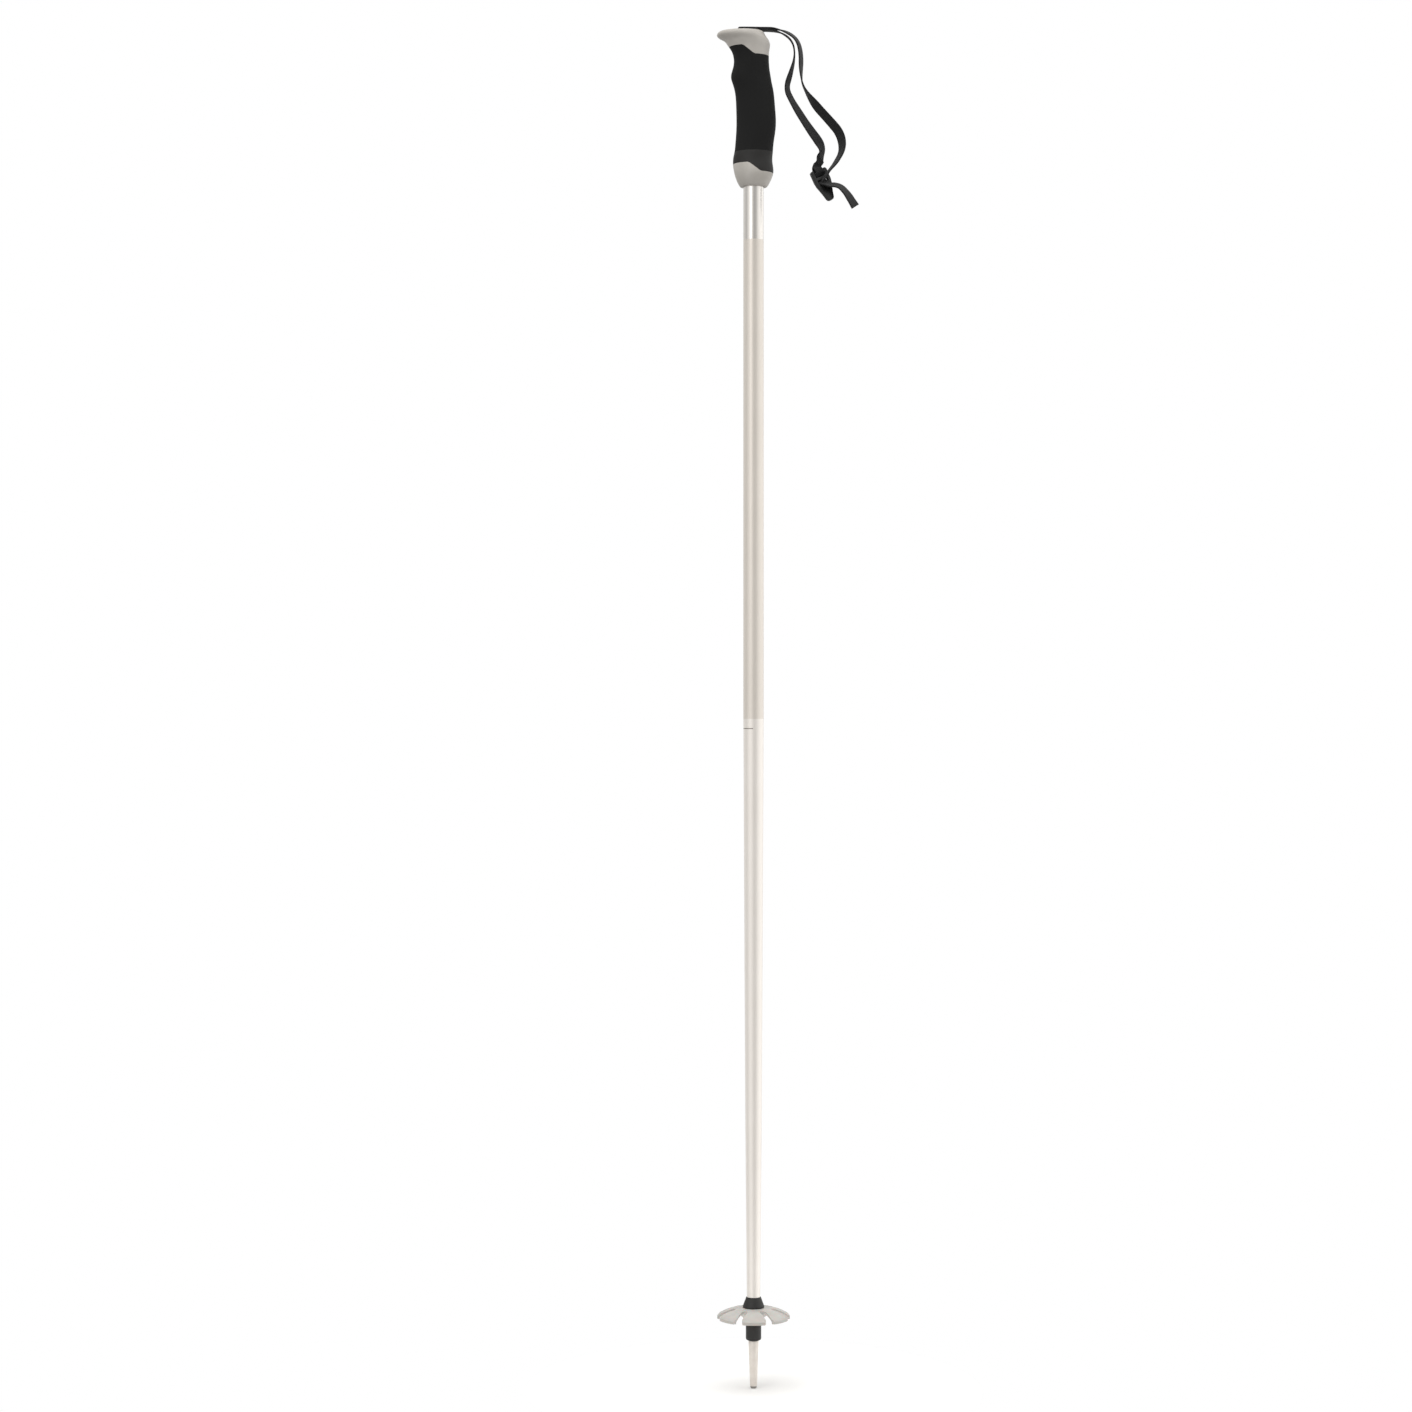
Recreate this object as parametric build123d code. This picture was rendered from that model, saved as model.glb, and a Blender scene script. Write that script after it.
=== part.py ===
from build123d import *
from math import cos, radians, sin, tan
import os

# A ski pole, in millimetres. The origin is the ground point under the tip, on the
# shaft's axis. +Z runs up the shaft, -X is the front (the grip's horn), +X the rear
# (the wrist strap).

# Shaft
shaft_diameter = 18.0
shaft_wall = 1.2
shaft_top = 1168.0
shaft_foot = 58.0
taper_top = 590.0
taper_stations = [(370.0, 16.0), (230.0, 14.5), (80.0, 11.8)]
shaft_foot_diameter = 11.2

# Tip, ferrule and basket
cone_top = 42.0
cone_top_diameter = 9.1
cone_foot = 2.0
cone_foot_diameter = 6.3
spigot_diameter = 7.0
spigot_top = 55.0
insert_diameter = 5.6
insert_stem_diameter = 4.0
insert_top = 16.0
insert_cup_radius = 1.2
barrel_radius = 6.8
barrel_top = 60.7
barrel_edge = 1.6
neck_radius = 6.4
flange_bottom = 71.3
flange_radius = 9.6
flange_top = 80.5
flange_top_radius = 6.35
basket_radius = 32.0
basket_bottom = 61.5
basket_lip = 2.6
basket_top = 71.0
basket_thickness = 1.8
basket_hub_radius = 9.4
basket_bore_radius = 6.48
basket_hub_bottom = 61.0
slot_count = 7
slot_turn = -64.3
basket_web_radius = 16.5
slot_width = 5.6
slot_inner_radius = 18.4
slot_flare = 2.2

# Grip. Each section is (height, front, rear, half width).
grip_sections = [
    (1059.0, -11.8, 11.8, 12.2),
    (1061.5, -13.4, 13.6, 13.9),
    (1066.0, -15.4, 15.8, 15.9),
    (1072.0, -17.1, 17.5, 16.8),
    (1079.0, -18.1, 16.9, 15.4),
    (1086.0, -17.6, 16.7, 14.1),
    (1093.5, -16.3, 17.3, 13.4),
    (1107.0, -15.3, 19.1, 13.2),
    (1121.5, -15.1, 19.6, 13.0),
    (1135.5, -15.6, 18.5, 12.8),
    (1146.0, -17.2, 17.1, 12.7),
    (1152.0, -19.1, 15.8, 12.8),
    (1157.0, -19.8, 15.0, 12.8),
    (1162.0, -18.6, 14.2, 12.9),
    (1169.0, -17.3, 13.6, 13.1),
    (1176.0, -18.3, 13.6, 13.3),
    (1182.0, -21.5, 14.4, 14.0),
    (1186.0, -24.3, 14.2, 15.2),
    (1189.0, -28.0, 12.8, 16.5),
    (1191.5, -31.9, 11.0, 17.5),
    (1193.6, -32.0, 9.8, 17.0),
    (1195.4, -28.4, 8.8, 13.4),
    (1196.6, -21.0, 7.6, 8.6),
]
core_inset = 3.0
core_bottom = 1064.0
core_top = 1186.0
# Each parting line runs level at the front, drops between two places and is level again.
head_parting = [(-8.5, 1182.0), (-0.5, 1174.0)]
collar_parting = [(-3.5, 1078.5), (4.8, 1070.5)]
band_top = 1089.5

# Wrist strap
web_width = 10.0
web_thickness = 1.4
web_tilt = 65.0
slot_clearance = 0.3
swing_x = 8.0
swing_z = 1197.95
strap_gap = 0.6
anchor_end = 4.8
top_run = swing_z + 0.1 + web_thickness / 2
wrap_front = -13.5
wrap_bottom = 1192.2
wrap_radius = 2.9
under_run_turn = -5.0
under_run_end = 1196.7
upper_route = [
    (swing_x + strap_gap, top_run), (18.0, 1198.8), (29.5, 1195.5), (38.5, 1188.5),
    (41.3, 1176.0), (41.0, 1160.0), (43.0, 1147.5), (54.5, 1131.0), (67.0, 1117.5),
    (76.5, 1106.0), (79.0, 1092.0), (72.5, 1080.0), (66.8, 1074.4),
]
lower_route = [
    (swing_x + strap_gap, 1197.2), (17.0, 1197.0), (27.5, 1193.3), (34.8, 1185.5),
    (36.2, 1173.5), (32.5, 1159.5), (28.3, 1146.0), (34.0, 1133.5), (47.5, 1112.0),
    (59.5, 1095.0), (58.9, 1086.5), (57.4, 1079.0),
]
twist_run = 4
tail_route = [(63.5, 1064.0), (69.0, 1060.4), (76.2, 1059.4), (83.6, 1051.0), (89.8, 1041.6)]
tail_offset = 3.2

# Buckle, about its bar
bar_x = 57.0
bar_z = 1072.5
buckle_angle = -66.0
buckle_width = 16.4
buckle_thickness = 3.2
buckle_reach = 28.0
bar_radius = 1.2
fold_clearance = 0.3
window_width = 10.8
middle_bar = (5.2, 7.6)
lower_window_end = 11.0
tab_width = 8.0


def save(shape, node):
    export_step(shape, f"parts/{node}.step")


def turned(outline):
    """A solid turned round the shaft's axis from a closed outline of (radius, height)."""
    face = make_face(Plane.XZ * Polyline(*outline, close=True))
    return revolve(face, Axis.Z)


def side_prism(outline, width):
    """A closed outline of (x, z), made width deep about the pole's middle plane."""
    face = make_face(Plane.XZ * Polyline(*outline, close=True))
    return extrude(face, width / 2, both=True)


def shaft_outline():
    lower = [(z, diameter / 2) for z, diameter in taper_stations]
    return [
        (shaft_top, shaft_diameter / 2), (taper_top, shaft_diameter / 2), *lower,
        (shaft_foot, shaft_foot_diameter / 2),
    ]


def shaft_outside():
    steps = [(radius, z) for z, radius in shaft_outline()]
    return turned([(0, shaft_top), *steps, (0, shaft_foot)])


def shaft_tube():
    inside = [(radius - shaft_wall, z) for z, radius in shaft_outline()]
    return shaft_outside() - turned([(0, shaft_top), *inside, (0, shaft_foot)])


def tip_insert():
    head = turned([
        (0, 0), (insert_diameter / 2 - 0.5, 0), (insert_diameter / 2, 0.9),
        (insert_diameter / 2, cone_foot), (0, cone_foot),
    ])
    stem = Pos(0, 0, cone_foot) * Cylinder(
        insert_stem_diameter / 2, insert_top - cone_foot,
        align=(Align.CENTER, Align.CENTER, Align.MIN),
    )
    cup = turned([(0, 0), (insert_cup_radius, 0), (0, 0.8)])
    return head + stem - cup


def tip_cone():
    body = turned([
        (0, cone_foot), (cone_foot_diameter / 2, cone_foot),
        (cone_top_diameter / 2, cone_top), (spigot_diameter / 2, cone_top),
        (spigot_diameter / 2, spigot_top), (0, spigot_top),
    ])
    return body - tip_insert()


def tip_ferrule():
    mouth = cone_top + 0.4
    body = turned([
        (0, mouth), (barrel_radius - barrel_edge, mouth),
        (barrel_radius - 0.35, mouth + 0.45), (barrel_radius, mouth + barrel_edge),
        (barrel_radius, barrel_top - 0.4), (neck_radius, barrel_top),
        (neck_radius, flange_bottom), (flange_radius - 0.5, flange_bottom),
        (flange_radius, flange_bottom + 0.7), (flange_top_radius + 0.25, flange_top - 0.5),
        (flange_top_radius, flange_top), (0, flange_top),
    ])
    return body - shaft_outside() - tip_cone()


def snow_basket():
    """A shallow dome on a coned hub, with a rim lip and slots out through the rim."""
    inner = basket_radius - basket_thickness
    shoulder = basket_bottom + basket_lip
    crest, edge = (flange_radius, basket_top), (basket_radius - 1.2, shoulder + 1.1)
    root, turn = (basket_web_radius, basket_top - 3.2), (inner - 0.4, shoulder - 0.6)
    foot = (basket_hub_radius - 0.6, basket_hub_bottom)
    hub = (basket_hub_radius, basket_hub_bottom + 1.6)
    lines = [
        Polyline(foot, (basket_bore_radius, basket_hub_bottom),
                 (basket_bore_radius, basket_top), crest),
        ThreePointArc(crest, (22.5, 68.9), edge),
        Polyline(edge, (basket_radius, shoulder - 0.3), (basket_radius, basket_bottom),
                 (inner, basket_bottom), turn),
        ThreePointArc(turn, (23.5, 66.5), root),
        Polyline(root, hub, foot),
    ]
    edges = [edge for line in lines for edge in line.edges()]
    profile = Plane.XZ * make_face(edges)
    body = revolve(profile, Axis.Z)
    half, mouth = slot_width / 2, basket_radius - slot_flare
    rim, wide = basket_radius + 2, slot_width / 2 + slot_flare + 1.6
    outline = [
        (slot_inner_radius, half), (mouth, half), (rim, wide), (rim, -wide), (mouth, -half),
        (slot_inner_radius, -half),
    ]
    slot = extrude(make_face(Polyline(*outline, close=True)), 200, both=True)
    slot += Pos(slot_inner_radius, 0, 0) * Cylinder(half, 400)
    for i in range(slot_count):
        body -= Rot(0, 0, slot_turn + 360 * i / slot_count) * slot
    return body


def grip_loft(inset=0.0):
    """The grip's outside, or a smaller form inside it, through oval sections."""
    ovals = []
    for z, front, rear, half_width in grip_sections:
        oval = Ellipse((rear - front) / 2 - inset, half_width - inset)
        ovals.append(Pos((front + rear) / 2, 0, z) * oval)
    return loft(ovals)


def above(parting):
    """Everything above a parting line that drops from front to rear."""
    (x_front, z_front), (x_rear, z_rear) = parting
    outline = [
        (-60, z_front), (x_front - 2, z_front), (x_front, z_front - 0.8),
        (x_rear, z_rear + 0.8), (x_rear + 2, z_rear), (60, z_rear), (60, 1300), (-60, 1300),
    ]
    return side_prism(outline, 80)


def above_level(z):
    return side_prism([(-60, z), (60, z), (60, 1300), (-60, 1300)], 80)


def grip_core():
    slab = above_level(core_bottom) - above_level(core_top)
    inner = grip_loft(inset=core_inset)
    return (inner & slab) - shaft_outside()


def strap_slot():
    """The head's slot for the webbing and the wedge, open at the top and the rear."""
    half = web_thickness / 2 + slot_clearance / 2
    front = wrap_front - half
    floor = wrap_bottom - half
    rise = (under_run_end - wrap_bottom) / (anchor_end - under_run_turn)
    rear = 20.0
    outline = [
        (front, 1205.0), (front, floor + 2.2), (front + 0.7, floor + 0.7), (front + 2.2, floor),
        (under_run_turn, floor), (rear, floor + rise * (rear - under_run_turn)),
        (rear, 1205.0),
    ]
    return side_prism(outline, web_width + 2 * slot_clearance)


def strap_wedge():
    """The wedge inside the webbing's wrap, thick at the front and thin at the rear."""
    half = web_thickness / 2 + 0.05
    top = top_run - half
    floor = wrap_bottom + half
    front = wrap_front + half
    rise = (under_run_end - wrap_bottom) / (anchor_end - under_run_turn)
    rear = anchor_end - 1.2
    outline = [
        (front + 2.0, top), (front + 0.6, top - 0.6), (front, top - 2.0),
        (front, floor + 2.0), (front + 0.6, floor + 0.6), (front + 2.0, floor),
        (under_run_turn - 0.8, floor), (rear, floor + rise * (rear - under_run_turn) + 0.25),
        (rear, top),
    ]
    return side_prism(outline, web_width + 2 * slot_clearance)


def grip_parts():
    grip = grip_loft()
    core = grip_core()
    shaft = shaft_outside()
    shell = grip - core - shaft
    head = (shell & above(head_parting)) - strap_slot()
    below_head = shell - above(head_parting)
    sleeve = below_head & above_level(band_top)
    below_sleeve = below_head - above_level(band_top)
    band = below_sleeve & above(collar_parting)
    collar = below_sleeve - above(collar_parting)
    return {
        "grip_core": core, "grip_head": head, "grip_sleeve": sleeve,
        "grip_band": band, "grip_collar": collar,
    }


def corner_radii(points):
    """Each corner's arc takes 0.45 of the shorter of its two runs."""
    radii = []
    for before, here, after in zip(points, points[1:], points[2:]):
        run_in = Vector(*here) - Vector(*before)
        run_out = Vector(*after) - Vector(*here)
        turn = run_in.get_angle(run_out)
        shorter = min(run_in.length, run_out.length)
        radii.append(0.45 * shorter / tan(radians(turn / 2)))
    return radii


def webbing(name, route, tilt, radii=None, y=0.0):
    """Webbing along a route of (x, z). At tilt 0 its width lies across the pole."""
    points = [(x, y, z) for x, z in route]
    radii = radii or corner_radii(points)
    path = FilletPolyline(*points, radius=radii)
    start = Vector(*points[0])
    along = (Vector(*points[1]) - start).normalized()
    outward = Vector(-along.Z, 0, along.X)
    across = outward * sin(radians(tilt)) + Vector(0, 1, 0) * cos(radians(tilt))
    section = Plane(start, x_dir=across, z_dir=along) * Rectangle(web_width, web_thickness)
    band = sweep(section, path)
    share = band.volume / (web_width * web_thickness * path.length)
    print(name, "length", round(path.length, 1), "volume share", round(share, 4),
          "radii", [round(r, 1) for r in radii])
    return band


def strap_anchor():
    route = [
        (anchor_end, top_run), (wrap_front, top_run), (wrap_front, wrap_bottom),
        (under_run_turn, wrap_bottom), (anchor_end, under_run_end),
    ]
    return webbing("strap_anchor", route, 0, [wrap_radius, wrap_radius, 8.0])


def strand(name, route):
    """Flat across the pole as far as the middle of the twist run, then turned to its tilt."""
    (xa, za), (xb, zb) = route[twist_run], route[twist_run + 1]
    middle = ((xa + xb) / 2, (za + zb) / 2)
    flat = webbing(name + " flat", [*route[: twist_run + 1], middle], 0)
    turned_part = webbing(name + " turned", [middle, *route[twist_run + 1:]], web_tilt)
    return flat + turned_part


def buckle_frame():
    """The buckle's own plane: x across it, y up its length, z out of its face."""
    down = Vector(cos(radians(buckle_angle)), 0, sin(radians(buckle_angle)))
    right = Vector(-down.Z, 0, down.X)
    across = right * sin(radians(web_tilt)) + Vector(0, 1, 0) * cos(radians(web_tilt))
    face = across.cross(down * -1)
    return Plane((bar_x, 0, bar_z), x_dir=across, z_dir=face)


def strap_buckle():
    half = buckle_width / 2
    side = [
        (half - 1.5, 1.6), (half, 0.4), (half, -9.0), (half - 0.7, -13.0), (half - 2.2, -17.0),
        (tab_width / 2 + 0.4, -22.0), (tab_width / 2 - 0.5, -buckle_reach + 2.4),
        (tab_width / 2 - 1.6, -buckle_reach + 0.9), (1.0, -buckle_reach + 0.4),
    ]
    outline = Polyline(*[(-x, y) for x, y in reversed(side)], *side, close=True)
    plate = extrude(make_face(outline), buckle_thickness / 2, both=True)
    upper = middle_bar[0]
    plate -= Pos(0, (1.6 + 3 - upper) / 2, 0) * Box(window_width, upper + 1.6 + 3, 20)
    lower = (middle_bar[1] + lower_window_end) / 2
    plate -= Pos(0, -lower, 0) * Box(window_width, lower_window_end - middle_bar[1], 20)
    plate += Rot(0, 90, 0) * Cylinder(bar_radius, buckle_width - 2)
    return buckle_frame() * plate


def bar_fold():
    """The lower strand's end, folded round the buckle's bar and sewn to itself."""
    inner = bar_radius + fold_clearance
    outer = inner + web_thickness
    width = web_width - 0.6
    fold = Rot(0, 90, 0) * (Cylinder(outer, width) - Cylinder(inner, width + 1))
    neck = Pos(0, inner + 3.6, 0) * Box(width, 6.0, 2 * web_thickness)
    return buckle_frame() * (fold + neck)


def strap_tail(buckle):
    """The free end, laid over the middle bar and out past the buckle's side."""
    ribbon = webbing("strap_tail", tail_route, web_tilt, y=-tail_offset)
    bar = (middle_bar[0] + middle_bar[1]) / 2
    height = buckle_thickness / 2 + web_thickness / 2
    pad = buckle_frame() * (Pos(0, -bar - 1.5, height) * Box(window_width - 1, 8.0, web_thickness))
    return ribbon + pad - buckle


os.makedirs("parts", exist_ok=True)
save(shaft_tube(), "shaft_tube")
save(tip_insert(), "tip_insert")
save(tip_cone(), "tip_cone")
save(tip_ferrule(), "tip_ferrule")
save(snow_basket(), "snow_basket")
for node, shape in grip_parts().items():
    save(shape, node)
save(strap_wedge(), "strap_wedge")
save(strap_anchor(), "strap_anchor")
save(strand("strap_upper_strand", upper_route), "strap_upper_strand")
save(strand("strap_lower_strand", lower_route) + bar_fold(), "strap_lower_strand")
buckle = strap_buckle()
save(buckle, "strap_buckle")
save(strap_tail(buckle), "strap_tail")
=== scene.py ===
import bpy
from math import cos, pi, radians, sin
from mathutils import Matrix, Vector


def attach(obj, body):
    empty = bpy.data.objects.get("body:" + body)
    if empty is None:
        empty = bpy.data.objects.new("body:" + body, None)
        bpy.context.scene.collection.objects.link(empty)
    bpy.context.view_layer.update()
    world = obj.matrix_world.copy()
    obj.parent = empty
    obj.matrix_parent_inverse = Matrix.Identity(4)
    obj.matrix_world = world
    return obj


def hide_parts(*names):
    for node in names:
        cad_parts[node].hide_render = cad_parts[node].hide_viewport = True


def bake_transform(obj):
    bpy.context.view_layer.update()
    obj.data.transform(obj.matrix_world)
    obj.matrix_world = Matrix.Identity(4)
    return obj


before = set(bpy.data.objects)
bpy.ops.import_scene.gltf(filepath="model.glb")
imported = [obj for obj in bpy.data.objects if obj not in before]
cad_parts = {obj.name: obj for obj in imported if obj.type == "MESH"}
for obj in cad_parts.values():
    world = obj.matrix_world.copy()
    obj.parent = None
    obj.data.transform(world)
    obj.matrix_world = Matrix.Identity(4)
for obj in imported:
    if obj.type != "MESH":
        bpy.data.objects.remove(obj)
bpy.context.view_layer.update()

# metres throughout; the horn faces -X, the strap hangs at +X, the camera looks along +Y
acrossPole = Vector((0, 1, 0))


def deselectAll():
    if bpy.context.mode != "OBJECT":
        bpy.ops.object.mode_set(mode="OBJECT")
    bpy.ops.object.select_all(action="DESELECT")


def makeActive(piece):
    deselectAll()
    piece.select_set(True)
    bpy.context.view_layer.objects.active = piece


def hexColour(code):
    channels = [int(code[i:i + 2], 16) / 255 for i in (1, 3, 5)]
    linear = [c / 12.92 if c <= 0.04045 else ((c + 0.055) / 1.055) ** 2.4 for c in channels]
    return (*linear, 1.0)


def addNode(tree, kind, settings=None, links=None):
    node = tree.nodes.new(kind)
    for key, value in (settings or {}).items():
        if isinstance(key, int) or key in node.inputs:
            node.inputs[key].default_value = value
        else:
            setattr(node, key, value)
    for key, source in (links or {}).items():
        tree.links.new(source, node.inputs[key])
    return node


cameraSettings = {
    "distance": 2.6, "sideways": -0.0419, "height": 0.6013, "viewHeight": 1.245,
    "sensor": 36.0, "farClip": 50,
}


def addCamera(s):
    data = bpy.data.cameras.new("camera")
    data.sensor_width = s["sensor"]
    data.lens = s["sensor"] * s["distance"] / s["viewHeight"]
    data.clip_end = s["farClip"]
    camera = bpy.data.objects.new("camera", data)
    bpy.context.collection.objects.link(camera)
    camera.location = (s["sideways"], -s["distance"], s["height"])
    camera.rotation_euler = (radians(90), 0, 0)
    bpy.context.scene.camera = camera


addCamera(cameraSettings)
print("camera set")


# wrist strap: one length of 10 mm webbing, each stretch on its own smooth line
webbing = {"width": 0.010, "thickness": 0.0014, "ribPitch": 0.0011, "ribDepth": 0.00007,
           "ringStep": 0.00028, "edgeSteps": 4, "faceSteps": 10, "smoothBelow": 50,
           "lineOrder": 3, "lineSteps": 16}
topRun = 1.19875
anchorRoute = [
    (-0.0085, 0, topRun), (-0.0108, 0, topRun), (-0.0136, 0, 1.1986), (-0.0136, 0, 1.1923),
    (-0.0108, 0, 1.1922), (-0.0040, 0, 1.19265),
]
upperRoute = [
    (-0.0085, 0, topRun), (0.0000, 0, topRun), (0.0086, 0, topRun), (0.0180, 0, 1.1988),
    (0.0297, 0, 1.1957), (0.0390, 0, 1.1888), (0.0421, 0, 1.1760), (0.0416, 0, 1.1600),
    (0.0432, 0, 1.1475), (0.0545, 0, 1.1310), (0.0670, 0, 1.1175), (0.0768, 0, 1.1060),
    (0.0790, 0, 1.0920), (0.0724, 0, 1.0800), (0.0668, -0.0010, 1.0735),
    (0.0628, -0.0012, 1.0682), (0.0602, -0.0004, 1.0662), (0.0592, 0.0010, 1.0650),
]
lowerRoute = [
    (-0.0040, 0, 1.19265), (0.0040, 0, 1.1974), (0.0170, 0, 1.1971), (0.0278, 0, 1.1936),
    (0.0352, 0, 1.1860), (0.0366, 0, 1.1735), (0.0330, 0, 1.1595), (0.0285, 0, 1.1460),
    (0.0345, 0, 1.1335), (0.0480, 0, 1.1120), (0.0602, 0, 1.0955), (0.0604, 0, 1.0868),
    (0.0581, 0, 1.0800),
]
# each twist is (share of the length, degrees from flat across the pole)
upperTwist = [(0, 0), (0.12, 4), (0.22, 22), (0.36, 22), (0.47, 2), (0.60, -38), (0.76, -43),
              (0.87, -24), (0.94, -14), (1, -40)]
lowerTwist = [(0, 0), (0.10, 0), (0.22, 15), (0.335, 3), (0.50, 24), (0.58, 34), (0.71, 44),
              (0.87, 56), (0.955, 24), (1, 34)]


def smoothLine(name, route, w):
    curve = bpy.data.curves.new(name, "CURVE")
    curve.dimensions = "3D"
    spline = curve.splines.new("NURBS")
    spline.points.add(len(route) - 1)
    for point, place in zip(spline.points, route):
        point.co = (*place, 1)
    spline.order_u = w["lineOrder"]
    spline.use_endpoint_u = True
    curve.resolution_u = w["lineSteps"]
    carrier = bpy.data.objects.new(name, curve)
    bpy.context.collection.objects.link(carrier)
    bpy.context.view_layer.update()
    mesh = bpy.data.meshes.new_from_object(carrier)
    points = [v.co.copy() for v in mesh.vertices]
    bpy.data.objects.remove(carrier)
    bpy.data.meshes.remove(mesh)
    return points


# points along a line at an even step, with the ends kept
def evenly(points, step):
    total = sum((b - a).length for a, b in zip(points, points[1:]))
    count = max(2, round(total / step))
    out, here, gone = [points[0].copy()], 0, 0.0
    for i in range(1, count):
        target = total * i / count
        while gone + (points[here + 1] - points[here]).length < target:
            gone += (points[here + 1] - points[here]).length
            here += 1
        run = points[here + 1] - points[here]
        out.append(points[here] + run * ((target - gone) / run.length))
    return [*out, points[-1].copy()], total


# the two keys round a share of the length, and how far it is from one to the other
def between(keys, share):
    for (a, first), (b, second) in zip(keys, keys[1:]):
        if share <= b:
            return first, second, (share - a) / (b - a)
    return keys[-1][1], keys[-1][1], 1.0


def eased(keys, share):
    first, second, t = between(keys, share)
    return first + (second - first) * t * t * (3 - 2 * t)


def turned(along, degrees):
    outward = Vector((-along.z, 0, along.x))
    return outward * sin(radians(degrees)) + acrossPole * cos(radians(degrees))


def twisted(keys):
    return lambda share, along: turned(along, eased(keys, share))


# round selvedges joined by flat faces: (across, up) with up from -1 to 1
def webbingSection(w):
    half, lip = w["width"] / 2, w["thickness"] / 2
    flat = half - lip
    section = []
    for side in (1, -1):
        for i in range(w["faceSteps"] + 1):
            section.append((side * (flat - 2 * flat * i / w["faceSteps"]), side * 1.0))
        for i in range(1, w["edgeSteps"]):
            angle = pi * i / w["edgeSteps"]
            section.append((-side * (flat + lip * sin(angle)), side * cos(angle)))
    return section


# a closed band of webbing along a smooth line; acrossAt(share, along) points its width
def webbingBand(name, route, acrossAt, w):
    points, total = evenly(smoothLine(name, route, w), w["ringStep"])
    section = webbingSection(w)
    ring = len(section)
    verts, uvs = [], []
    for i, here in enumerate(points):
        before, after = points[max(i - 1, 0)], points[min(i + 1, len(points) - 1)]
        along = (after - before).normalized()
        share = i / (len(points) - 1)
        across = acrossAt(share, along)
        across = (across - along * across.dot(along)).normalized()
        up = along.cross(across)
        length = total * share
        rib = w["ribDepth"] * (1 + cos(2 * pi * length / w["ribPitch"])) / 2
        for sideways, upward in section:
            lift = upward * (w["thickness"] / 2 - rib)
            verts.append(here + across * sideways + up * lift)
            uvs.append((length, sideways))
    faces = []
    for i in range(len(points) - 1):
        for j in range(ring):
            k = (j + 1) % ring
            faces.append((i * ring + j, i * ring + k, (i + 1) * ring + k, (i + 1) * ring + j))
    faces.append(tuple(reversed(range(ring))))
    last = (len(points) - 1) * ring
    faces.append(tuple(range(last, last + ring)))
    mesh = bpy.data.meshes.new(name)
    mesh.from_pydata(verts, [], faces)
    layer = mesh.uv_layers.new(name="UVMap")
    for loop in mesh.loops:
        layer.data[loop.index].uv = uvs[loop.vertex_index]
    mesh.validate()
    piece = bpy.data.objects.new(name, mesh)
    bpy.context.collection.objects.link(piece)
    makeActive(piece)
    bpy.ops.object.mode_set(mode="EDIT")
    bpy.ops.mesh.select_all(action="SELECT")
    bpy.ops.mesh.normals_make_consistent(inside=False)
    bpy.ops.object.mode_set(mode="OBJECT")
    bpy.ops.object.shade_smooth_by_angle(angle=radians(w["smoothBelow"]))
    print(name, "length", round(total, 4))
    return piece, points


# the buckle's own directions, as the CAD has them
buckleFrame = {"bar": Vector((0.057, 0, 1.0725)), "angle": radians(-66), "tilt": radians(65)}
buckleDown = Vector((cos(buckleFrame["angle"]), 0, sin(buckleFrame["angle"])))
buckleRight = Vector((-buckleDown.z, 0, buckleDown.x))
buckleAcross = buckleRight * sin(buckleFrame["tilt"]) + acrossPole * cos(buckleFrame["tilt"])
buckleFace = buckleAcross.cross(-buckleDown)


def onBuckle(across, down, out):
    return buckleFrame["bar"] + buckleAcross * across + buckleDown * down + buckleFace * out


strapAnchor, _ = webbingBand("strapAnchor", anchorRoute, twisted([(0, 0), (1, 0)]), webbing)
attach(strapAnchor, "pole")
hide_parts("strap_anchor")

upperStrand, upperLine = webbingBand("upperStrand", upperRoute, twisted(upperTwist), webbing)
lowerStrand, lowerLine = webbingBand("lowerStrand", lowerRoute, twisted(lowerTwist), webbing)

# the tail dives behind the buckle's middle bar, comes out over its end and hangs free
tailRoute = [
    onBuckle(0, 0.0010, 0.0024), onBuckle(0, 0.0040, 0.0000), onBuckle(0, 0.0050, -0.0026),
    onBuckle(0, 0.0080, -0.0028), onBuckle(0, 0.0104, 0.0008), onBuckle(0.0014, 0.0124, 0.0031),
    (0.0672, -0.0036, 1.0600), (0.0716, -0.0036, 1.0603), (0.0768, -0.0028, 1.0588),
    (0.0820, -0.0018, 1.0535), (0.0860, -0.0008, 1.0476), (0.0898, 0.0000, 1.0416),
]
wrapShare, loosenFrom, loosenOver = 0.34, 0.28, 0.14
tailTwist = [(0, 27), (wrapShare, 27), (0.50, 32), (0.66, 38), (0.85, 46), (1, 52)]


# square to the buckle in its windows, then turning slowly face-on towards the cut end
def tailAcross(share, along):
    free = turned(along, eased(tailTwist, share))
    loose = min(1, max(0, (share - loosenFrom) / loosenOver))
    return buckleAcross.lerp(free, loose)


strapTail, _ = webbingBand("strapTail", tailRoute, tailAcross, webbing)
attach(strapTail, "buckle")
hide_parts("strap_tail")


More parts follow.
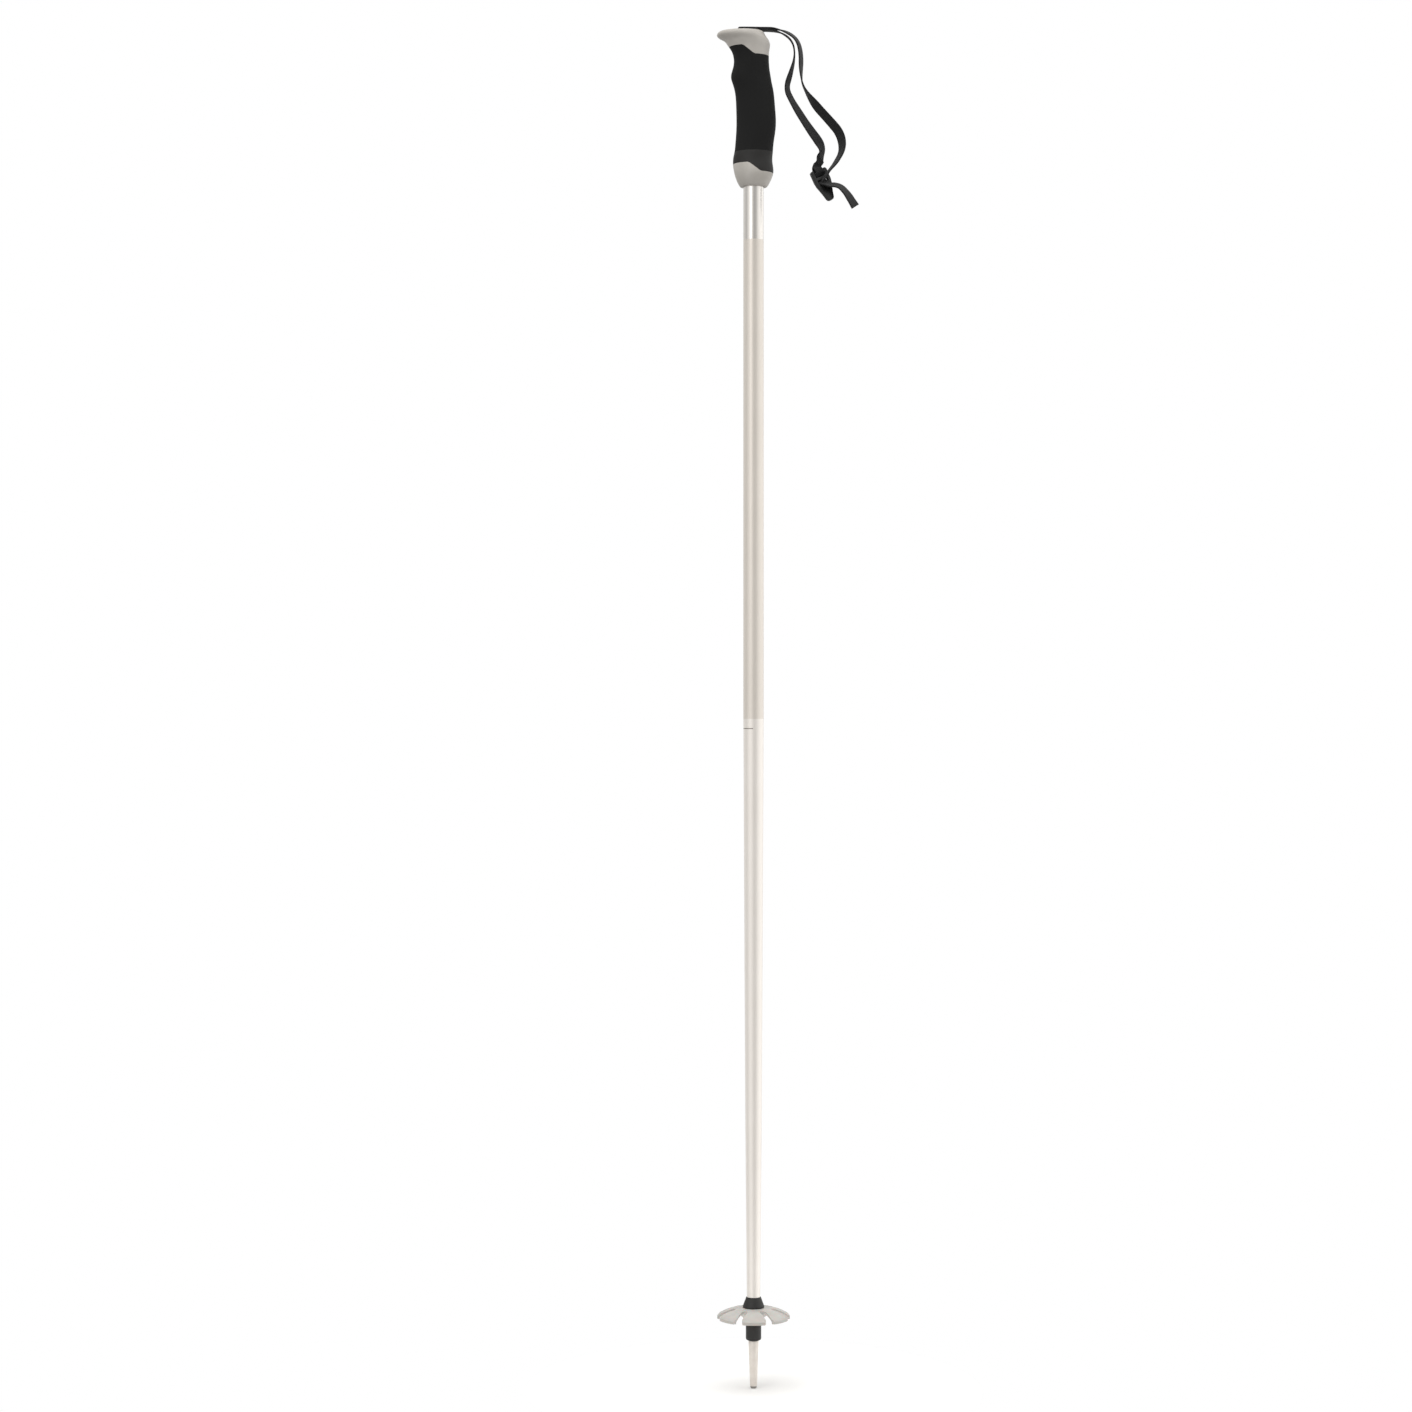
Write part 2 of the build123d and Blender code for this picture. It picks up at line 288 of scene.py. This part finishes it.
# the lower strand's folded end: round the buckle's bar, and sewn to the strand behind it
foldRoute = [
    (0.0606, 0.0010, 1.0905), (0.0580, 0.0012, 1.0882), (0.0565, 0.0012, 1.0850),
    (0.0568, 0.0014, 1.0815), onBuckle(0, -0.0050, -0.0016), onBuckle(0, -0.0012, -0.0026),
    onBuckle(0, 0.0026, -0.0021), onBuckle(0, 0.0026, 0.0021), onBuckle(0, -0.0016, 0.0026),
    onBuckle(0.0002, -0.0050, 0.0006), (0.0590, -0.0002, 1.0800), (0.0603, 0, 1.0826),
]
sewnAcross, endAcross = Vector((0.16, 0.98, 0)), Vector((0.56, 0.82, 0.1))
foldTurns = [(0, sewnAcross), (0.24, sewnAcross), (0.44, buckleAcross), (0.86, buckleAcross),
             (1, endAcross)]


def foldAcross(share, along):
    first, second, t = between(foldTurns, share)
    return first.lerp(second, t)


gathered = {**webbing, "width": 0.0078}  # the webbing draws in where it turns round the bar
barFold, _ = webbingBand("barFold", foldRoute, foldAcross, gathered)
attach(barFold, "strap")
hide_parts("strap_lower_strand")
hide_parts("strap_upper_strand")
for strand in (upperStrand, lowerStrand):
    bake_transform(strand)
print("strap made")


# pieces whose CAD shape is right get a copy with rounded edges
softened = {
    "gripHead": {"node": "grip_head", "body": "pole", "edge": 0.0006},
    "gripSleeve": {"node": "grip_sleeve", "body": "pole", "edge": 0.0005},
    "gripBand": {"node": "grip_band", "body": "pole", "edge": 0.0005},
    "gripCollar": {"node": "grip_collar", "body": "pole", "edge": 0.0006},
    "strapWedge": {"node": "strap_wedge", "body": "pole", "edge": 0.0004},
    "snowBasket": {"node": "snow_basket", "body": "basket", "edge": 0.0005},
    "tipFerrule": {"node": "tip_ferrule", "body": "pole", "edge": 0.0004},
    "tipCone": {"node": "tip_cone", "body": "pole", "edge": 0.0003},
    "strapBuckle": {"node": "strap_buckle", "body": "buckle", "edge": 0.0006},
}
# lengths in metres, angles in degrees: an edge sharper than roundAbove gets a bevel
softening = {"weldGap": 0.000005, "flatBelow": 0.6, "edgeSteps": 3, "roundAbove": 38,
             "smoothBelow": 32}


def softenedCopy(name, s, how):
    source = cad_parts[s["node"]]
    piece = bpy.data.objects.new(name, source.data.copy())
    bpy.context.collection.objects.link(piece)
    makeActive(piece)
    bpy.ops.object.mode_set(mode="EDIT")
    bpy.ops.mesh.select_all(action="SELECT")
    bpy.ops.mesh.remove_doubles(threshold=how["weldGap"])
    bpy.ops.mesh.dissolve_limited(angle_limit=radians(how["flatBelow"]))
    bpy.ops.object.mode_set(mode="OBJECT")
    bevel = piece.modifiers.new("edges", "BEVEL")
    bevel.width = s["edge"]
    bevel.segments = how["edgeSteps"]
    bevel.limit_method = "ANGLE"
    bevel.angle_limit = radians(how["roundAbove"])
    bevel.harden_normals = False
    bpy.ops.object.modifier_apply(modifier="edges")
    bpy.ops.object.shade_smooth_by_angle(angle=radians(how["smoothBelow"]))
    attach(piece, s["body"])
    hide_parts(s["node"])
    return piece


soft = {name: softenedCopy(name, s, softening) for name, s in softened.items()}
print("moulded pieces made")


def newMaterial(name, roughness, metallic=0.0, sockets=None):
    material = bpy.data.materials.new(name)
    material.use_nodes = True
    tree = material.node_tree
    shader = tree.nodes["Principled BSDF"]
    values = {"Roughness": roughness, "Metallic": metallic, **(sockets or {})}
    for key, value in values.items():
        shader.inputs[key].default_value = value
    return material, tree, shader


def objectPlace(tree):
    return addNode(tree, "ShaderNodeTexCoord").outputs["Object"]


# scale at which a wave texture's bands lie this far apart
def bandScale(pitchMm):
    return 2 * pi / 20 * 1000 / pitchMm


# cloudy colour and roughness, in clouds about spanMm across
def addClouds(tree, shader, place, colours, spanMm, roughness):
    cloud = addNode(tree, "ShaderNodeTexNoise", {"Scale": 1000 / spanMm, "Detail": 5.0},
                    {"Vector": place})
    ramp = addNode(tree, "ShaderNodeValToRGB", None, {"Fac": cloud.outputs["Fac"]})
    for element, position, colour in zip(ramp.color_ramp.elements, (0.35, 0.65), colours):
        element.position = position
        element.color = hexColour(colour)
    tree.links.new(ramp.outputs["Color"], shader.inputs["Base Color"])
    gloss = addNode(tree, "ShaderNodeMapRange",
                    {"From Min": 0.3, "From Max": 0.7, "To Min": roughness[0],
                     "To Max": roughness[1]}, {"Value": cloud.outputs["Fac"]})
    tree.links.new(gloss.outputs["Result"], shader.inputs["Roughness"])


def addRelief(tree, shader, height, depthMm, strength=1.0):
    bump = addNode(tree, "ShaderNodeBump", {"Distance": depthMm / 1000, "Strength": strength},
                   {"Height": height})
    tree.links.new(bump.outputs["Normal"], shader.inputs["Normal"])


# moulded materials: two cloud colours and their span, the roughness range, and the mould's grain
moulded = {
    # injection-moulded nylon, spark-eroded mould: an even satin with no sharp glints
    "paleNylonSatin": {"colours": ("#B7B2AB", "#C2BDB7"), "spanMm": 14, "roughness": (0.42, 0.54),
                       "grainMm": 0.5, "depthMm": 0.02, "sockets": {"IOR": 1.50}},
    # thermoplastic rubber, fine matt grain: deep black that keeps a faint dusty edge
    "sleeveRubber": {"colours": ("#121212", "#191919"), "spanMm": 9, "roughness": (0.72, 0.86),
                     "grainMm": 0.6, "depthMm": 0.05,
                     "sockets": {"IOR": 1.45, "Specular IOR Level": 0.3}},
    # the same rubber moulded smooth: a little paler and glossier than the sleeve
    "bandRubber": {"colours": ("#12100F", "#171513"), "spanMm": 7, "roughness": (0.58, 0.68),
                   "grainMm": 0.4, "depthMm": 0.015, "sockets": {"IOR": 1.48}},
    # glass-filled nylon: dark, slightly chalky where snow crust has rubbed it
    "ferruleNylon": {"colours": ("#131211", "#1B1917"), "spanMm": 5, "roughness": (0.50, 0.66),
                     "grainMm": 0.35, "depthMm": 0.03, "sockets": {"IOR": 1.53}},
    # cold-proof polyethylene: waxy, lets a little light in at its thin rim
    "basketPolyethylene": {"colours": ("#B1AEA9", "#BDBAB5"), "spanMm": 12,
                           "roughness": (0.36, 0.5), "grainMm": 0.6, "depthMm": 0.02,
                           "sockets": {"IOR": 1.51, "Subsurface Weight": 0.12,
                                       "Subsurface Scale": 0.004}},
    # moulded acetal: black with a soft slippery shine
    "buckleAcetal": {"colours": ("#0F0F0F", "#161616"), "spanMm": 4, "roughness": (0.30, 0.42),
                     "grainMm": 0.3, "depthMm": 0.01, "sockets": {"IOR": 1.48}},
}


def mouldedMaterial(name, s):
    middle = sum(s["roughness"]) / 2
    material, tree, shader = newMaterial(name, middle, sockets=s["sockets"])
    place = objectPlace(tree)
    addClouds(tree, shader, place, s["colours"], s["spanMm"], s["roughness"])
    grain = addNode(tree, "ShaderNodeTexNoise", {"Scale": 1000 / s["grainMm"], "Detail": 3.0},
                    {"Vector": place})
    addRelief(tree, shader, grain.outputs["Fac"], s["depthMm"])
    return material


# the weave's two colours go to its hollows and its crests: painted shade in the hollows between
# threads
weave = {"colours": ("#161617", "#2E2E2F"), "roughness": 0.8, "ribMm": 1.1, "threadMm": 0.55,
         "depthMm": 0.12, "relief": 0.8,
         "sockets": {"IOR": 1.45, "Sheen Weight": 0.1, "Sheen Roughness": 0.5,
                     "Specular IOR Level": 0.35}}


def strapPolyester(s):
    # woven polyester: weft ribs across, warp threads along, a soft fibre sheen
    material, tree, shader = newMaterial("strapPolyester", s["roughness"], sockets=s["sockets"])
    place = addNode(tree, "ShaderNodeUVMap", {"uv_map": "UVMap"}).outputs["UV"]
    ribs = addNode(tree, "ShaderNodeTexWave",
                   {"wave_type": "BANDS", "bands_direction": "X", "Scale": bandScale(s["ribMm"]),
                    "Distortion": 0.4, "Detail": 1.0}, {"Vector": place})
    threads = addNode(tree, "ShaderNodeTexWave",
                      {"wave_type": "BANDS", "bands_direction": "Y",
                       "Scale": bandScale(s["threadMm"]), "Distortion": 0.6, "Detail": 1.0},
                      {"Vector": place})
    crossed = addNode(tree, "ShaderNodeMath", {"operation": "MULTIPLY"},
                      {0: ribs.outputs["Fac"], 1: threads.outputs["Fac"]}).outputs["Value"]
    # colour follows the weave's height: painted shade in the hollows, painted highlight on the
    # crests
    ramp = addNode(tree, "ShaderNodeValToRGB", None, {"Fac": crossed})
    for element, colour in zip(ramp.color_ramp.elements, s["colours"]):
        element.color = hexColour(colour)
    tree.links.new(ramp.outputs["Color"], shader.inputs["Base Color"])
    addRelief(tree, shader, crossed, s["depthMm"], s["relief"])
    return material


# heights in metres; each pair is for the lacquered tube and then for its bare top
shaftFinish = {
    "bareFrom": 1.012, "creamBelow": 0.590, "printAt": 0.5815, "printHalf": 0.0004,
    "printUpToX": -0.0005, "stone": ("#E3DBD2", "#EAE2D9"), "cream": ("#F4EDE6", "#FAF4EE"),
    "polished": ("#E4DFDA", "#ECE8E4"), "ink": "#8C857E", "cloudMm": 30,
    "metallic": (0.42, 0.92), "roughness": (0.33, 0.24), "roughnessDrift": 0.03,
    "lineGapMm": 0.8, "lineLengthMm": 90, "lineDepthMm": 0.006, "lineRelief": 0.5,
    "sockets": {"Coat Weight": 0.25, "Coat Roughness": 0.15},
}


def shaftAluminium(s):
    # drawn tube: polished bare under the grip, stone lacquer to the half, pearl cream below
    material, tree, shader = newMaterial("shaftAluminium", s["roughness"][0], s["metallic"][0],
                                         s["sockets"])
    place = objectPlace(tree)
    axes = addNode(tree, "ShaderNodeSeparateXYZ", None, {"Vector": place})
    cloud = addNode(tree, "ShaderNodeTexNoise", {"Scale": 1000 / s["cloudMm"], "Detail": 4.0},
                    {"Vector": place}).outputs["Fac"]
    mixA, mixB, mixResult = 6, 7, 2  # the Mix node's sockets for colours

    def step(name, value, operation):
        return addNode(tree, "ShaderNodeMath", {"operation": operation, 1: value},
                       {0: axes.outputs[name]}).outputs["Value"]

    def chosen(factor, first, second):
        return addNode(tree, "ShaderNodeMix", {"data_type": "RGBA"},
                       {"Factor": factor, mixA: first, mixB: second}).outputs[mixResult]

    def clouded(colours):
        dark, light = [hexColour(colour) for colour in colours]
        return addNode(tree, "ShaderNodeMix", {"data_type": "RGBA", mixA: dark, mixB: light},
                       {"Factor": cloud}).outputs[mixResult]

    bare = step("Z", s["bareFrom"], "GREATER_THAN")
    cream = step("Z", s["creamBelow"], "LESS_THAN")
    colour = chosen(cream, clouded(s["stone"]), clouded(s["cream"]))
    colour = chosen(bare, colour, clouded(s["polished"]))
    near = addNode(tree, "ShaderNodeMath", {"operation": "COMPARE", 1: s["printAt"],
                                            2: s["printHalf"]}, {0: axes.outputs["Z"]})
    printed = addNode(tree, "ShaderNodeMath", {"operation": "MULTIPLY"},
                      {0: near.outputs["Value"], 1: step("X", s["printUpToX"], "LESS_THAN")})
    ink = addNode(tree, "ShaderNodeRGB").outputs[0]
    ink.default_value = hexColour(s["ink"])
    colour = chosen(printed.outputs["Value"], colour, ink)
    tree.links.new(colour, shader.inputs["Base Color"])

    def eachFinish(pair):
        return addNode(tree, "ShaderNodeMapRange", {"To Min": pair[0], "To Max": pair[1]},
                       {"Value": bare}).outputs["Result"]

    tree.links.new(eachFinish(s["metallic"]), shader.inputs["Metallic"])
    drift = addNode(tree, "ShaderNodeMapRange",
                    {"To Min": -s["roughnessDrift"], "To Max": s["roughnessDrift"]},
                    {"Value": cloud})
    both = addNode(tree, "ShaderNodeMath", {"operation": "ADD"},
                   {0: eachFinish(s["roughness"]), 1: drift.outputs["Result"]})
    tree.links.new(both.outputs["Value"], shader.inputs["Roughness"])
    # draw lines run along the tube, wider apart than real ones so that they show
    perGap = 1000 / s["lineGapMm"]
    stretch = addNode(tree, "ShaderNodeMapping",
                      {"Scale": (perGap, perGap, 1000 / s["lineLengthMm"])}, {"Vector": place})
    lines = addNode(tree, "ShaderNodeTexNoise", {"Scale": 1.0, "Detail": 2.0},
                    {"Vector": stretch.outputs["Vector"]})
    addRelief(tree, shader, lines.outputs["Fac"], s["lineDepthMm"], s["lineRelief"])
    return material


turnedParts = {
    # a soft bright aluminium, dulled by ground and snow
    "tipAluminium": {"colours": ("#D9D1C9", "#E2DBD4"), "roughness": 0.34, "metallic": 0.55},
    # hardened steel: darker and greyer than the point round it
    "insertSteel": {"colours": ("#85827E", "#96938E"), "roughness": 0.36, "metallic": 0.9},
}
turning = {"cloudMm": 6, "roughnessDrift": 0.05, "ringMm": 0.4, "ringDepthMm": 0.008,
           "ringRelief": 0.6}


def turnedMetal(name, s, how):
    # turned on a lathe: fine rings round the axis, wider apart than real ones so that they show
    material, tree, shader = newMaterial(name, s["roughness"], s["metallic"])
    place = objectPlace(tree)
    drift = how["roughnessDrift"]
    addClouds(tree, shader, place, s["colours"], how["cloudMm"],
              (s["roughness"] - drift, s["roughness"] + drift))
    rings = addNode(tree, "ShaderNodeTexWave",
                    {"wave_type": "BANDS", "bands_direction": "Z",
                     "Scale": bandScale(how["ringMm"]), "Distortion": 0.3}, {"Vector": place})
    addRelief(tree, shader, rings.outputs["Fac"], how["ringDepthMm"], how["ringRelief"])
    return material


def dress(piece, material):
    piece.data.materials.clear()
    piece.data.materials.append(material)
    for polygon in piece.data.polygons:
        polygon.material_index = 0


def dressNode(node, material):
    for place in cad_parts[node].material_slots:
        place.material = material


plastic = {name: mouldedMaterial(name, s) for name, s in moulded.items()}
metal = {name: turnedMetal(name, s, turning) for name, s in turnedParts.items()}
polyester = strapPolyester(weave)
dressing = {
    "gripHead": (plastic["paleNylonSatin"], "grip_plastic"),
    "gripCollar": (plastic["paleNylonSatin"], "grip_plastic"),
    "strapWedge": (plastic["ferruleNylon"], "ferrule_plastic"),
    "tipFerrule": (plastic["ferruleNylon"], "ferrule_plastic"),
    "gripSleeve": (plastic["sleeveRubber"], "grip_rubber"),
    "gripBand": (plastic["bandRubber"], "band_rubber"),
    "snowBasket": (plastic["basketPolyethylene"], "basket_plastic"),
    "tipCone": (metal["tipAluminium"], "tip_metal"),
    "strapBuckle": (plastic["buckleAcetal"], "buckle_plastic"),
}
for name, (material, slot) in dressing.items():
    dress(soft[name], material)
for band in (strapAnchor, upperStrand, lowerStrand, strapTail, barFold):
    dress(band, polyester)
dressNode("shaft_tube", shaftAluminium(shaftFinish))
dressNode("grip_core", plastic["ferruleNylon"])
dressNode("tip_insert", metal["insertSteel"])
print("materials set")


studio = {
    "floorRadius": 0.20, "floorSides": 96, "floorColour": "#F4F3F2", "floorRoughness": 0.9,
    # the sun's spread and tilt in degrees; a tall panel at the left of the camera
    "topLight": 1.3, "topSpread": 60, "topTilt": (12, -8), "frontPower": 8.0,
    "frontSize": (1.4, 2.2), "frontPlace": (-1.5, -2.6, 1.9), "frontAim": (0, 0, 0.9),
    # strengths of the walls and the ground, and the downward slopes between which they meet
    "wallStrength": 0.86, "underStrength": 0.45, "groundEdge": (-0.55, -0.25), "warmth": 0.985,
    # degrees round from the camera's side (90 is +X) and brightness
    "wallTones": [(-180, 0.85), (-130, 0.88), (-108, 0.72), (-86, 0.58), (-66, 0.95), (-46, 1.20),
                  (-22, 0.95), (8, 0.48), (30, 0.62), (54, 1.20), (86, 1.50), (118, 1.45),
                  (150, 1.05)],
}


def addFloor(s):
    deselectAll()
    bpy.ops.mesh.primitive_circle_add(vertices=s["floorSides"], radius=s["floorRadius"],
                                      fill_type="NGON", location=(0, 0, 0))
    floor = bpy.context.object
    floor.name = "floor"
    base = {"Base Color": hexColour(s["floorColour"])}
    dress(floor, newMaterial("paleFloor", s["floorRoughness"], sockets=base)[0])


def addLight(name, kind, energy):
    data = bpy.data.lights.new(name, kind)
    data.energy = energy
    light = bpy.data.objects.new(name, data)
    bpy.context.collection.objects.link(light)
    return light, data


def addLights(s):
    sun, sunData = addLight("topLight", "SUN", s["topLight"])
    sunData.angle = radians(s["topSpread"])
    tiltX, tiltY = s["topTilt"]
    sun.rotation_euler = (radians(tiltX), radians(tiltY), 0)
    panel, panelData = addLight("frontLight", "AREA", s["frontPower"])
    panelData.shape = "RECTANGLE"
    panelData.size, panelData.size_y = s["frontSize"]
    panel.location = s["frontPlace"]
    aim = Vector(s["frontAim"]) - panel.location
    panel.rotation_euler = aim.to_track_quat("-Z", "Y").to_euler()


# studio walls, bright with darker gaps between them, and a dimmer ground below
def paleWorld(s):
    world = bpy.data.worlds.new("studio")
    bpy.context.scene.world = world
    world.use_nodes = True
    tree = world.node_tree
    tree.nodes.clear()
    place = addNode(tree, "ShaderNodeTexCoord").outputs["Generated"]
    axes = addNode(tree, "ShaderNodeSeparateXYZ", None, {"Vector": place})
    forward = addNode(tree, "ShaderNodeMath", {"operation": "MULTIPLY", 1: -1.0},
                      {0: axes.outputs["Y"]})
    turn = addNode(tree, "ShaderNodeMath", {"operation": "ARCTAN2"},
                   {0: axes.outputs["X"], 1: forward.outputs["Value"]})
    share = addNode(tree, "ShaderNodeMapRange", {"From Min": -pi, "From Max": pi},
                    {"Value": turn.outputs["Value"]})
    walls = addNode(tree, "ShaderNodeValToRGB", None, {"Fac": share.outputs["Result"]})
    walls.color_ramp.interpolation = "EASE"
    elements = walls.color_ramp.elements
    for i, (degrees, tone) in enumerate([*s["wallTones"], (180, s["wallTones"][0][1])]):
        position = (degrees + 180) / 360
        element = elements[i] if i < 2 else elements.new(position)
        element.position = position
        element.color = (tone, tone, tone * s["warmth"], 1)
    height = addNode(tree, "ShaderNodeMapRange",
                     {"interpolation_type": "SMOOTHSTEP", "From Min": s["groundEdge"][0],
                      "From Max": s["groundEdge"][1], "To Min": s["underStrength"],
                      "To Max": s["wallStrength"]},
                     {"Value": axes.outputs["Z"]})
    around = addNode(tree, "ShaderNodeBackground", None,
                     {"Color": walls.outputs["Color"], "Strength": height.outputs["Result"]})
    seen = addNode(tree, "ShaderNodeBackground", {"Color": (1, 1, 1, 1), "Strength": 1.0})
    path = addNode(tree, "ShaderNodeLightPath")
    mix = addNode(tree, "ShaderNodeMixShader", None,
                  {0: path.outputs["Is Camera Ray"], 1: around.outputs[0], 2: seen.outputs[0]})
    addNode(tree, "ShaderNodeOutputWorld", None, {"Surface": mix.outputs[0]})


addFloor(studio)
addLights(studio)
paleWorld(studio)
bpy.context.scene.view_settings.view_transform = "Standard"
print("studio set")
